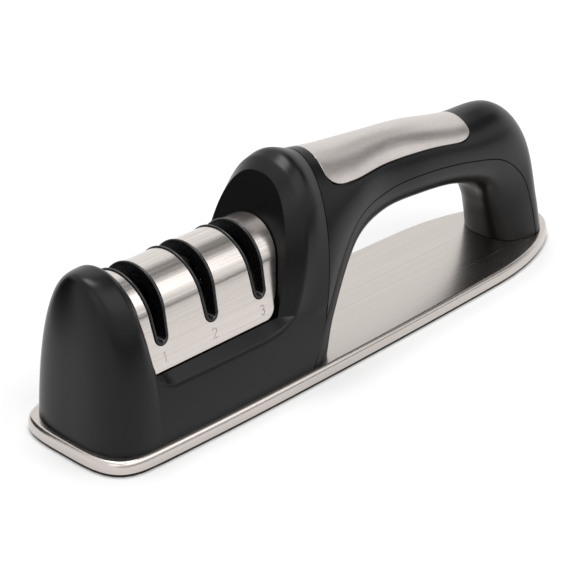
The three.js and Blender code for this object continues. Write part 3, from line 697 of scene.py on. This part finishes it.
def column_rows(inset):
    """Rows of the column: its foot, its face, a rounded rim and a band over the ridge to the collar."""
    rear = SADDLE_REAR + inset
    rim = rear + RIM_SETBACK
    ridge = rim + RIDGE_RUN
    foot = row(rear + STEP, saddle_ring(rear, inset))
    half = SILL_HALF + GROOVE_WIDTH - inset
    top = arch(half, SILL - inset, FACE_TOP - inset, COLUMN_EXPONENT, TOP_SHARE, SILL)
    ring = whole_ring(*saddle_edge(rear, inset), top)
    face = row(column_face(rear + STEP, ring[1]), ring)
    ring = column_ring(rim, inset, wall_half(rim, SILL), RIM_TOP, COLUMN_EXPONENT, lift=RIM_LIFT)
    edge = row(column_rim(rim, ring[1]), ring)
    ring = column_ring(ridge, inset, wall_half(ridge, SILL), RIDGE_TOP, RIDGE_EXPONENT)
    crown = row(column_rim(ridge, ring[1]), ring)
    half = wall_half(COLLAR_TURN, COLLAR_JOINT)
    ring = column_ring(COLLAR_FOOT, inset, half, COLLAR_TOP, COLLAR_EXPONENT, COLLAR_JOINT)
    collar = row(collar_plane(ring[1]), ring)
    band = eased_rows([edge, crown, collar], BAND_STEPS)
    turn_in = edge + (face - edge) * RIM_ROUND
    turn = [bend(turn_in, edge, band[RIM_END_ROW], share) for share in np.linspace(0, 1, RIM_ROWS)]
    return [foot, face, *turn, *band[RIM_END_ROW + 1:]]


def head_grid(inset):
    """Skin of the head from nose to collar, and which spans between its rows lie in the recess."""
    ahead = nose_rows(inset) + cap_edge_rows(inset)
    saddle = saddle_rows(inset)
    grid = np.asarray(ahead + saddle + column_rows(inset))
    return grid, slice(len(ahead), len(ahead) + len(saddle) - 1)


def head_housing():
    """Moulded housing: the head's skin and its inner skin, with a window under the steel cover."""
    outer, saddle = head_grid(0.0)
    inner, _ = head_grid(HEAD_WALL)
    inner[:, :1, 2] = FOOT
    inner[:, -1:, 2] = FOOT
    keep = np.ones((outer.shape[0] - 1, outer.shape[1] - 1), bool)
    window = LOW_SHARE.size + LEDGE_SHARE.size + WINDOW_COLUMN
    keep[saddle, window:-window] = False
    shape = closed_shell(outer, inner, keep)
    piece("head", shape, ABS, ["head_housing"], bevel=HEAD_BEVEL, crease=HEAD_CREASE)


# Steel cover and slot core, with the rows up an arch, the columns between slots and a lip's points
COVER_LOW_ROWS = 9
COVER_END_ROWS = 10
COVER_SIDE_ROWS = 8
COVER_ARCH_ROWS = 30
EDGE_SPACING = np.array([0, 0.02, 0.06, 0.13, 0.24, 0.4])
SLOT_CLOSED = 0.01
LIP_PROFILE_POINTS = 9
LIP_END_POINTS = 9
LIP_SIDE_POINTS = 7
LIP_ARCH_POINTS = 24


def tangent_height(radius):
    """Height at which the arch's circle runs into its flaring side."""
    return COVER_CENTRE + radius * np.sin(COVER_FLARE)


def cover_y(offset, z):
    """Half width of the cover's arch at a height: a circle on top, straight flaring sides below it."""
    radius = COVER_RADIUS - offset
    tangent = tangent_height(radius)
    circle = np.sqrt(np.maximum(radius ** 2 - (z - COVER_CENTRE) ** 2, 0))
    flare = radius * np.cos(COVER_FLARE) + (tangent - z) * np.tan(COVER_FLARE)
    return np.where(z > tangent, circle, flare)


def slot_half(z, inset):
    """Half width of a slot at a height: a round lower end, then a straight widening to the top."""
    radius = SLOT_END - inset
    low = np.sqrt(np.maximum(radius ** 2 - (SLOT_END_CENTRE - z) ** 2, 0))
    slope = (SLOT_TOP - SLOT_END) / (SLOT_TOP_HEIGHT - SLOT_END_CENTRE)
    return np.where(z > SLOT_END_CENTRE, radius + slope * (z - SLOT_END_CENTRE), low)


def slotted_arch(offset, end_gap, slot_inset, corners):
    """Grid over the arch, cut along X at the slots' edges, and which of its cells are solid."""
    slot_foot = SLOT_END_CENTRE - SLOT_END + slot_inset
    radius = COVER_RADIUS - offset
    turn = np.linspace(0, QUARTER, COVER_END_ROWS)
    angle = np.linspace(COVER_FLARE, QUARTER, COVER_ARCH_ROWS)
    z = np.concatenate([
        np.linspace(COVER_FOOT, slot_foot, COVER_LOW_ROWS)[:-1],
        SLOT_END_CENTRE - (SLOT_END_CENTRE - slot_foot) * np.cos(turn),
        np.linspace(SLOT_END_CENTRE, tangent_height(radius), COVER_SIDE_ROWS)[1:-1],
        COVER_CENTRE + radius * np.sin(angle),
    ])
    z = np.concatenate([z, z[-2::-1]])
    side = np.where(np.arange(z.size) < z.size // 2, -1, 1)
    half = slot_half(z, slot_inset)
    share = np.concatenate([EDGE_SPACING, 1 - EDGE_SPACING[::-1]])
    front = 0 * z + SADDLE_FRONT + end_gap
    rear = column_face(SADDLE_REAR - end_gap, z)
    starts = np.stack([front] + [slot + half for slot in SLOTS], axis=1)
    ends = np.stack([slot - half for slot in SLOTS] + [rear], axis=1)
    x = starts[:, :, None] + (ends - starts)[:, :, None] * share
    x = x.reshape(z.size, -1)
    height = np.broadcast_to(z[:, None], x.shape)
    if corners:
        span = np.clip((slot_foot - height) / (slot_foot - COVER_FOOT), 0, 1)
        front_lift = round_lift(x - SADDLE_FRONT, COVER_FRONT_ROUND)
        rear_lift = round_lift(SADDLE_REAR - x, COVER_REAR_ROUND)
        height = height + (front_lift + rear_lift) * span
    grid = np.stack([x, side[:, None] * cover_y(offset, height), height], axis=-1)
    keep = np.ones((z.size - 1, x.shape[1] - 1), bool)
    whole = (half[:-1] + half[1:] < SLOT_CLOSED)[:, None]
    keep[:, share.size - 1::share.size] = whole
    return grid, keep


def steel_cover():
    """Bent stainless sheet with three slots."""
    outer, keep = slotted_arch(0.0, FIT_GAP, 0.0, True)
    inner, _ = slotted_arch(COVER_SHEET, FIT_GAP, 0.0, True)
    shape = closed_shell(outer, inner, keep)
    piece("cover", shape, COVER_STEEL, ["steel_cover"], bevel=COVER_BEVEL)


def slot_lip(centre):
    """Rounded lip profile carried round one slot: up one side, over the arch, and back on the other."""
    turn = np.linspace(0, np.pi, LIP_PROFILE_POINTS)
    radius = LIP_WIDTH / 2
    middle = FIT_GAP + radius
    inset = np.concatenate([[FIT_GAP], middle - radius * np.cos(turn), [FIT_GAP + LIP_WIDTH]])[:, None]
    top = -LIP_PROUD + radius
    offset = np.concatenate([[CHANNEL], top - radius * np.sin(turn), [CHANNEL]])[:, None]
    arch_radius = COVER_RADIUS - offset
    end = np.linspace(0, QUARTER, LIP_END_POINTS)
    side = np.linspace(0, 1, LIP_SIDE_POINTS)[1:-1]
    angle = np.linspace(COVER_FLARE, QUARTER, LIP_ARCH_POINTS)
    z = np.concatenate([
        SLOT_END_CENTRE - (SLOT_END - inset) * np.cos(end),
        SLOT_END_CENTRE + (tangent_height(arch_radius) - SLOT_END_CENTRE) * side,
        COVER_CENTRE + arch_radius * np.sin(angle),
    ], axis=1)
    x = slot_half(z, inset)
    x[:, 0] = 0
    y = cover_y(offset, z)
    loop = np.concatenate([
        np.stack([centre + x, -y, z], axis=-1),
        np.stack([centre + x, y, z], axis=-1)[:, -2::-1],
        np.stack([centre - x, y, z], axis=-1)[:, 1:],
        np.stack([centre - x, -y, z], axis=-1)[:, -2:0:-1],
    ], axis=1)
    return closed_tube(loop, True)


def slot_core():
    """Moulded core under the cover, with a lip standing through each slot."""
    inset = FIT_GAP + LIP_WIDTH / 2
    outer, keep = slotted_arch(CORE_SKIN, 2 * FIT_GAP, inset, False)
    inner, _ = slotted_arch(CORE_SKIN + CORE_WALL, 2 * FIT_GAP, inset, False)
    shape = joined([closed_shell(outer, inner, keep)] + [slot_lip(centre) for centre in SLOTS])
    piece("core", shape, LIPS, ["slot_core"])


# Handle: points of its joint line (X, half width, height), of its crown and of its loop, from the
# collar to the leg, then the stations and columns of each piece
JOINT = [
    (COLLAR_FOOT + FIT_GAP, wall_half(COLLAR_FOOT, FOOT), FOOT),
    (COLLAR_TURN + FIT_GAP, wall_half(COLLAR_TURN, COLLAR_JOINT), COLLAR_JOINT),
    (COLLAR_FOOT + 28.8, SHOULDER_HALF, 47.0),
    (COLLAR_FOOT + 48.8, GRIP_HALF, 50.7),
    (COLLAR_FOOT + 70.8, GRIP_HALF, 50.6),
    (LEG_FOOT - 37.5, GRIP_HALF, 46.8),
    (LEG_FOOT - 19.5, GRIP_HALF, 41.3),
    (LEG_FOOT - 7.7, GRIP_HALF, 30.7),
    (LEG_FOOT - 3.0, (GRIP_HALF + LEG_HALF) / 2, 18.5),
    (LEG_FOOT, LEG_HALF, FOOT),
]
CROWN = [
    (collar_plane(COLLAR_TOP) + FIT_GAP, 0.0, COLLAR_TOP),
    (COLLAR_FOOT + 31.8, 0.0, 70.4),
    (COLLAR_FOOT + 50.8, 0.0, 68.8),
    (COLLAR_FOOT + 71.8, 0.0, 66.4),
    (LEG_FOOT - 36.5, 0.0, 61.6),
    (LEG_FOOT - 14.4, 0.0, 59.6),
    (LEG_FOOT - 0.8, 0.0, 47.8),
    (LEG_FOOT + 6.8, 0.0, 21.0),
    (LEG_FOOT + 10.0, 0.0, FOOT),
]
LOOP = [
    (COLLAR_FOOT + 15.8, 0.0, FOOT),
    (COLLAR_FOOT + 18.4, 0.0, 19.0),
    (COLLAR_FOOT + 33.4, 0.0, 34.2),
    (COLLAR_FOOT + 51.0, 0.0, 39.2),
    (COLLAR_FOOT + 71.8, 0.0, 39.0),
    (LEG_FOOT - 40.5, 0.0, 36.0),
    (LEG_FOOT - 25.5, 0.0, 29.5),
    (LEG_FOOT - 20.3, 0.0, 20.5),
    (LEG_FOOT - 17.6, 0.0, 12.5),
    (LEG_FOOT - 15.5, 0.0, FOOT),
]
INLAY_TURN_STATIONS = 14
INLAY_STRAIGHT_STATIONS = 34
INLAY_COLUMNS = 34
SHELL_FRONT_STATIONS = 9
SHELL_REAR_STATIONS = 54
SHELL_SIDE_COLUMNS = 15
SEAT_STEP = 0.004
SEAT_TURN = 0.002
LINER_STATIONS = 110
LINER_COLUMNS = 61


def curve(points, share):
    """Centripetal Catmull-Rom curve through the points, at shares of its spans from first to last."""
    points = np.asarray(points, float)
    points = np.concatenate([2 * points[:1] - points[1:2], points, 2 * points[-1:] - points[-2:-1]])
    place = np.asarray(share) * (len(points) - 3)
    span = np.clip(np.floor(place).astype(int), 0, len(points) - 4)
    t = (place - span)[:, None]
    a, b, c, d = (points[span + k] for k in range(4))
    first, middle, last = (
        np.sqrt(np.linalg.norm(q - p, axis=1))[:, None] for p, q in ((a, b), (b, c), (c, d))
    )
    leave = ((b - a) / first - (c - a) / (first + middle) + (c - b) / middle) * middle
    arrive = ((c - b) / middle - (d - b) / (middle + last) + (d - c) / last) * middle
    square = (-3 * b + 3 * c - 2 * leave - arrive) * t ** 2
    return b + leave * t + square + (2 * b - 2 * c + leave + arrive) * t ** 3


def sections(station, peaks):
    """Root, direction, reach and half width of the handle's section at each station."""
    joint = curve(JOINT, station / LAST_STATION)
    upper = peaks is CROWN
    share = np.maximum(station - 1, 0) / (LAST_STATION - 1) if upper else station / LAST_STATION
    root = joint * (1, 0, 1)
    rise = curve(peaks, share) - root
    reach = np.linalg.norm(rise, axis=1, keepdims=True)
    rise = rise / reach
    gap = FIT_GAP / 2
    return root + rise * gap, rise, reach - gap, joint[:, 1:2]


def handle_grid(station, peaks, exponent, angle, inset):
    """Superellipse over each section, from the near joint (angle 0) over its peak to the far one."""
    root, rise, reach, half = sections(station, peaks)
    along = np.sin(angle).clip(0) ** (2 / exponent)
    across = np.abs(np.cos(angle)) ** (2 / exponent) * -np.sign(np.cos(angle))
    grid = root[:, None] + rise[:, None] * ((reach - inset) * along)[..., None]
    grid[..., 1] = (half - inset) * across
    return grid


def inlay_edge(station):
    """Angle of the inlay's edge above the joint: straight ends with rounded corners."""
    share = (station - INLAY_FRONT) / (INLAY_REAR - INLAY_FRONT)
    front = np.clip((INLAY_FRONT + INLAY_FRONT_ROUND - station) / INLAY_FRONT_ROUND, 0, 1)
    rear = np.clip((station - INLAY_REAR + INLAY_REAR_ROUND) / INLAY_REAR_ROUND, 0, 1)
    straight = INLAY_FRONT_DROP + (INLAY_REAR_DROP - INLAY_FRONT_DROP) * share
    front_corner = INLAY_FRONT_CORNER * (1 - np.sqrt(1 - front ** 2))
    rear_corner = INLAY_REAR_CORNER * (1 - np.sqrt(1 - rear ** 2))
    reach = sections(station, CROWN)[2][:, 0]
    return np.arcsin(1 - (straight - front_corner - rear_corner) / reach)


def inlay_stations():
    """Stations along the inlay, close together where its outline turns."""
    turn = np.linspace(0, QUARTER, INLAY_TURN_STATIONS)
    front = INLAY_FRONT + INLAY_FRONT_ROUND
    rear = INLAY_REAR - INLAY_REAR_ROUND
    return np.concatenate([
        INLAY_FRONT + INLAY_FRONT_ROUND * (1 - np.cos(turn)),
        np.linspace(front, rear, INLAY_STRAIGHT_STATIONS)[1:-1],
        INLAY_REAR - INLAY_REAR_ROUND * (1 - np.sin(turn)),
    ])


def handle_shell():
    """Upper half of the handle: a wall over the crown curve, sunk under the inlay by its sheet."""
    station = np.concatenate([
        np.linspace(1, INLAY_FRONT - 3 * SEAT_STEP, SHELL_FRONT_STATIONS),
        [INLAY_FRONT - SEAT_STEP],
        inlay_stations(),
        [INLAY_REAR + SEAT_STEP],
        np.linspace(INLAY_REAR + 3 * SEAT_STEP, LAST_STATION, SHELL_REAR_STATIONS),
    ])
    grow = INLAY_GAP / GRIP_HALF
    edge = inlay_edge(np.clip(station, INLAY_FRONT, INLAY_REAR))[:, None] - grow
    side = np.linspace(0, 1, SHELL_SIDE_COLUMNS) * (edge - SEAT_TURN)
    angle = np.concatenate([
        side,
        edge + (np.pi - 2 * edge) * np.linspace(0, 1, INLAY_COLUMNS),
        np.pi - side[:, ::-1],
    ], axis=1)
    inside = (station >= INLAY_FRONT - SEAT_STEP / 2) & (station <= INLAY_REAR + SEAT_STEP / 2)
    sunk = np.zeros(angle.shape)
    sunk[inside, SHELL_SIDE_COLUMNS:-SHELL_SIDE_COLUMNS] = INLAY_SHEET
    outer = handle_grid(station, CROWN, SHELL_EXPONENT, angle, sunk)
    inner = handle_grid(station, CROWN, SHELL_EXPONENT, angle, HANDLE_WALL)
    shape = closed_shell(outer, inner)
    piece("shell", shape, ABS, ["handle_shell"], bevel=HANDLE_BEVEL)


def handle_liner():
    """Lower half of the handle: a wall over the loop curve, from beside the head to the leg's foot."""
    station = np.linspace(0, LAST_STATION, LINER_STATIONS)
    angle = np.broadcast_to(np.linspace(0, np.pi, LINER_COLUMNS), (LINER_STATIONS, LINER_COLUMNS))
    outer = handle_grid(station, LOOP, LINER_EXPONENT, angle, 0.0)
    inner = handle_grid(station, LOOP, LINER_EXPONENT, angle, HANDLE_WALL)
    shape = closed_shell(outer, inner)
    piece("liner", shape, ABS, ["handle_liner"], bevel=HANDLE_BEVEL)


def grip_inlay():
    """Satin steel sheet over the grip, following the shell, with a softened edge."""
    station = inlay_stations()
    edge = inlay_edge(station)[:, None]
    angle = edge + (np.pi - 2 * edge) * np.linspace(0, 1, INLAY_COLUMNS)
    outer = handle_grid(station, CROWN, SHELL_EXPONENT, angle, 0.0)
    inner = handle_grid(station, CROWN, SHELL_EXPONENT, angle, INLAY_SHEET - INLAY_CLEAR)
    shape = closed_shell(outer, inner)
    piece("inlay", shape, INLAY_STEEL, ["grip_inlay"], bevel=INLAY_BEVEL)


# Stage numerals on the cover's flank
ARC_POINTS = 14


def arc(centre, radii, first, last):
    """Points on an ellipse between two angles in degrees."""
    angle = np.radians(np.linspace(first, last, ARC_POINTS))
    return np.stack([centre[0] + radii[0] * np.cos(angle), centre[1] + radii[1] * np.sin(angle)], axis=1)


def numeral(digit):
    """Centre line of a numeral in a box one unit high, as a row of points: straight strokes and arcs."""
    if digit == 1:
        return np.array([(-0.16, 0.8), (0.04, 1.0), (0.04, 0.0)])
    if digit == 2:
        bowl = arc((0, 0.72), (0.27, 0.28), 165, -35)
        return np.concatenate([bowl, [(-0.29, 0.0), (0.3, 0.0)]])
    upper = arc((-0.02, 0.745), (0.25, 0.255), 150, -90)
    lower = arc((-0.02, 0.245), (0.28, 0.245), 90, -150)
    return np.concatenate([upper, lower])


def ribbon(line, width):
    """Edges of a stroke: each point moved half the width to both sides along its mitre."""
    ahead = np.diff(line, axis=0)
    ahead = ahead / np.linalg.norm(ahead, axis=1, keepdims=True)
    normal = np.stack([-ahead[:, 1], ahead[:, 0]], axis=1)
    normal = np.concatenate([normal[:1], normal, normal[-1:]])
    mitre = normal[:-1] + normal[1:]
    mitre = mitre / np.maximum((mitre * normal[:-1]).sum(axis=1, keepdims=True), MITRE_LIMIT)
    return np.stack([line - mitre * width / 2, line + mitre * width / 2], axis=1)


def numerals():
    """Thin printed strokes that lie on the near flank, one numeral under each slot."""
    parts = []
    for digit, centre in zip((1, 2, 3), SLOTS):
        edges = ribbon(numeral(digit) * NUMERAL_HEIGHT, NUMERAL_STROKE)
        x = centre + edges[..., 0]
        z = NUMERAL_FOOT + edges[..., 1] * np.cos(COVER_FLARE)
        y = -cover_y(0.0, z)
        outer = np.stack([x, y - INK_PROUD, z], axis=-1)
        inner = np.stack([x, y + INK_ROOT, z], axis=-1)
        parts.append(closed_shell(outer, inner))
    piece("numerals", joined(parts), INK, [])


base_plate()
head_housing()
steel_cover()
slot_core()
handle_shell()
handle_liner()
grip_inlay()
numerals()

# CAD pieces that stay, with their materials
SCREWS = [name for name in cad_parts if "screw" in name]
KEPT = [
    (RUBBER, "black_rubber", ["sole_pad"]),
    (ABS, "black_abs", ["stage_carrier"]),
    (CARBIDE, "carbide", ["carbide_plate_front", "carbide_plate_rear"]),
    (DIAMOND, "diamond_grit", ["diamond_wheel_front", "diamond_wheel_rear"]),
    (CERAMIC, "white_ceramic", ["ceramic_wheel_front", "ceramic_wheel_rear"]),
    (ZINC, "zinc_steel", ["carbide_rivet", "diamond_axle", "ceramic_axle", *SCREWS]),
]
for material, slot, names in KEPT:
    for name in names:
        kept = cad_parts[name]
        kept.data.materials.clear()
        kept.data.materials.append(material)

# Studio: how far the table keeps the shadow and where it has turned white, in millimetres
WHITE = linear("#ffffff")
SHADOW_REACH = 250.0
BACKDROP_REACH = 900.0
TABLE_SIZE = 12
EVEN_LIGHT = 0.59


def seen_rays(tree):
    """One for rays from the camera and for those mirrored or let through on the way, else nought."""
    path = node(tree, "ShaderNodeLightPath")
    shiny = node(tree, "ShaderNodeMath", {"operation": "MAXIMUM"},
                 {0: path.outputs["Is Glossy Ray"], 1: path.outputs["Is Transmission Ray"]})
    seen = node(tree, "ShaderNodeMath", {"operation": "MAXIMUM"},
                {0: path.outputs["Is Camera Ray"], 1: shiny.outputs["Value"]})
    return seen.outputs["Value"]


def paper_material():
    """Uncoated white paper: matt, with the object's soft shadow; to the eye it turns into the
    white backdrop away from the object."""
    material, tree, shader, place = new_material("white_paper")
    shader.inputs["Base Color"].default_value = linear("#f3f3f3")
    shader.inputs["Roughness"].default_value = 0.9
    reach = node(tree, "ShaderNodeVectorMath", {"operation": "LENGTH"}, {0: place})
    far = node(tree, "ShaderNodeMapRange", {"interpolation_type": "SMOOTHSTEP"},
               {"Value": reach.outputs["Value"], "From Min": SHADOW_REACH, "From Max": BACKDROP_REACH})
    share = node(tree, "ShaderNodeMath", {"operation": "MULTIPLY"},
                 {0: far.outputs["Result"], 1: seen_rays(tree)})
    backdrop = node(tree, "ShaderNodeEmission", None, {"Color": WHITE, "Strength": 1.0})
    blend = node(tree, "ShaderNodeMixShader", None, {
        "Fac": share.outputs["Value"],
        1: shader.outputs["BSDF"],
        2: backdrop.outputs["Emission"],
    })
    tree.links.new(blend.outputs["Shader"], tree.nodes["Material Output"].inputs["Surface"])
    return material


# Table: a paper sheet that runs out of the picture
bpy.ops.mesh.primitive_plane_add(size=TABLE_SIZE)
table = bpy.context.object
table.name = "table"
table.data.materials.append(paper_material())

# World: a white backdrop to the camera and in reflections, an even light on matt surfaces
world = bpy.data.worlds.new("studio")
bpy.context.scene.world = world
world.use_nodes = True
sky = world.node_tree
sky.nodes.clear()
even = node(sky, "ShaderNodeBackground", None, {"Color": WHITE, "Strength": EVEN_LIGHT})
plain = node(sky, "ShaderNodeBackground", None, {"Color": WHITE, "Strength": 1.0})
chosen = node(sky, "ShaderNodeMixShader", None, {
    "Fac": seen_rays(sky),
    1: even.outputs["Background"],
    2: plain.outputs["Background"],
})
node(sky, "ShaderNodeOutputWorld", None, {"Surface": chosen.outputs["Shader"]})


def facing(direction, distance, aim):
    """Place and turn of a panel at a distance from the point that it faces."""
    outwards = Vector(direction).normalized()
    return Vector(aim) + outwards * distance, outwards.to_track_quat("Z", "Y").to_euler()


def near_side(angle):
    """Direction at an angle in degrees up from the near side, square to the object's length."""
    return 0.0, -np.cos(np.radians(angle)), np.sin(np.radians(angle))


def flag(name, direction, distance, size, tone, aim):
    """Grey studio panel that only reflections see, so that steel and plastic show their form."""
    place, turn = facing(direction, distance, aim)
    bpy.ops.mesh.primitive_plane_add(size=1, location=place, rotation=turn)
    panel = bpy.context.object
    panel.name = name
    panel.scale = (*size, 1)
    card = bpy.data.materials.new(name + "_card")
    card.use_nodes = True
    tree = card.node_tree
    tree.nodes.clear()
    glow = node(tree, "ShaderNodeEmission", None, {"Color": WHITE, "Strength": tone})
    node(tree, "ShaderNodeOutputMaterial", None, {"Surface": glow.outputs["Emission"]})
    panel.data.materials.append(card)
    panel.visible_camera = False
    panel.visible_diffuse = False
    panel.visible_shadow = False


def softbox(name, direction, distance, size, power, aim):
    """Rectangular lamp at a distance from the point that it is turned towards."""
    lamp = bpy.data.lights.new(name, "AREA")
    lamp.shape = "RECTANGLE"
    lamp.size, lamp.size_y = size
    lamp.energy = power
    placed = bpy.data.objects.new(name, lamp)
    placed.location, placed.rotation_euler = facing(direction, distance, aim)
    bpy.context.collection.objects.link(placed)


# A dark line for the rim's roll and the plastic's edges
flag("horizon_flag", near_side(0), distance=0.5, size=(3.0, 0.12), tone=0.02, aim=(0.5, 0.0, 0.04))
# A grey field for the cover's top and the inlay's front
flag("top_flag", near_side(93), distance=1.5, size=(1.4, 1.1), tone=0.2, aim=(1.15, 0.0, 0.04))
# A dark field for the inlay's slanting band
flag("side_flag", near_side(57), distance=1.5, size=(2.2, 1.0), tone=0.03, aim=(2.3, 0.0, 0.04))
# A small card close to the column's face, which keeps it dark
FACE_AIM = (-0.035, 0.0, 0.05)
flag("face_flag", (-0.69, 0.6, 0.0), distance=0.14, size=(0.09, 0.08), tone=0.02, aim=FACE_AIM)

HEAD_AIM = (0.0, 0.0, 0.04)
softbox("key", (0.0, -0.695, 0.719), distance=1.3, size=(1.7, 0.75), power=4.4, aim=(0.22, 0.0, 0.04))
softbox("top", (0.0, 0.12, 0.9), distance=1.3, size=(0.7, 0.7), power=10, aim=HEAD_AIM)
softbox("front", (-0.9, -0.35, 0.5), distance=1.3, size=(0.6, 0.5), power=0.8, aim=HEAD_AIM)

# Camera, from the photograph's perspective
LENS = 125
SENSOR_WIDTH = 36
CAMERA_PLACE = Vector((-0.45509, -0.42196, 0.33817))
CAMERA_AIM = Vector((0.01221, 0.02931, 0))
camera = bpy.data.objects.new("camera", bpy.data.cameras.new("camera"))
camera.data.lens = LENS
camera.data.sensor_width = SENSOR_WIDTH
camera.location = CAMERA_PLACE
camera.rotation_euler = (CAMERA_AIM - CAMERA_PLACE).to_track_quat("-Z", "Y").to_euler()
bpy.context.collection.objects.link(camera)
bpy.context.scene.camera = camera
bpy.context.scene.view_settings.view_transform = "Standard"
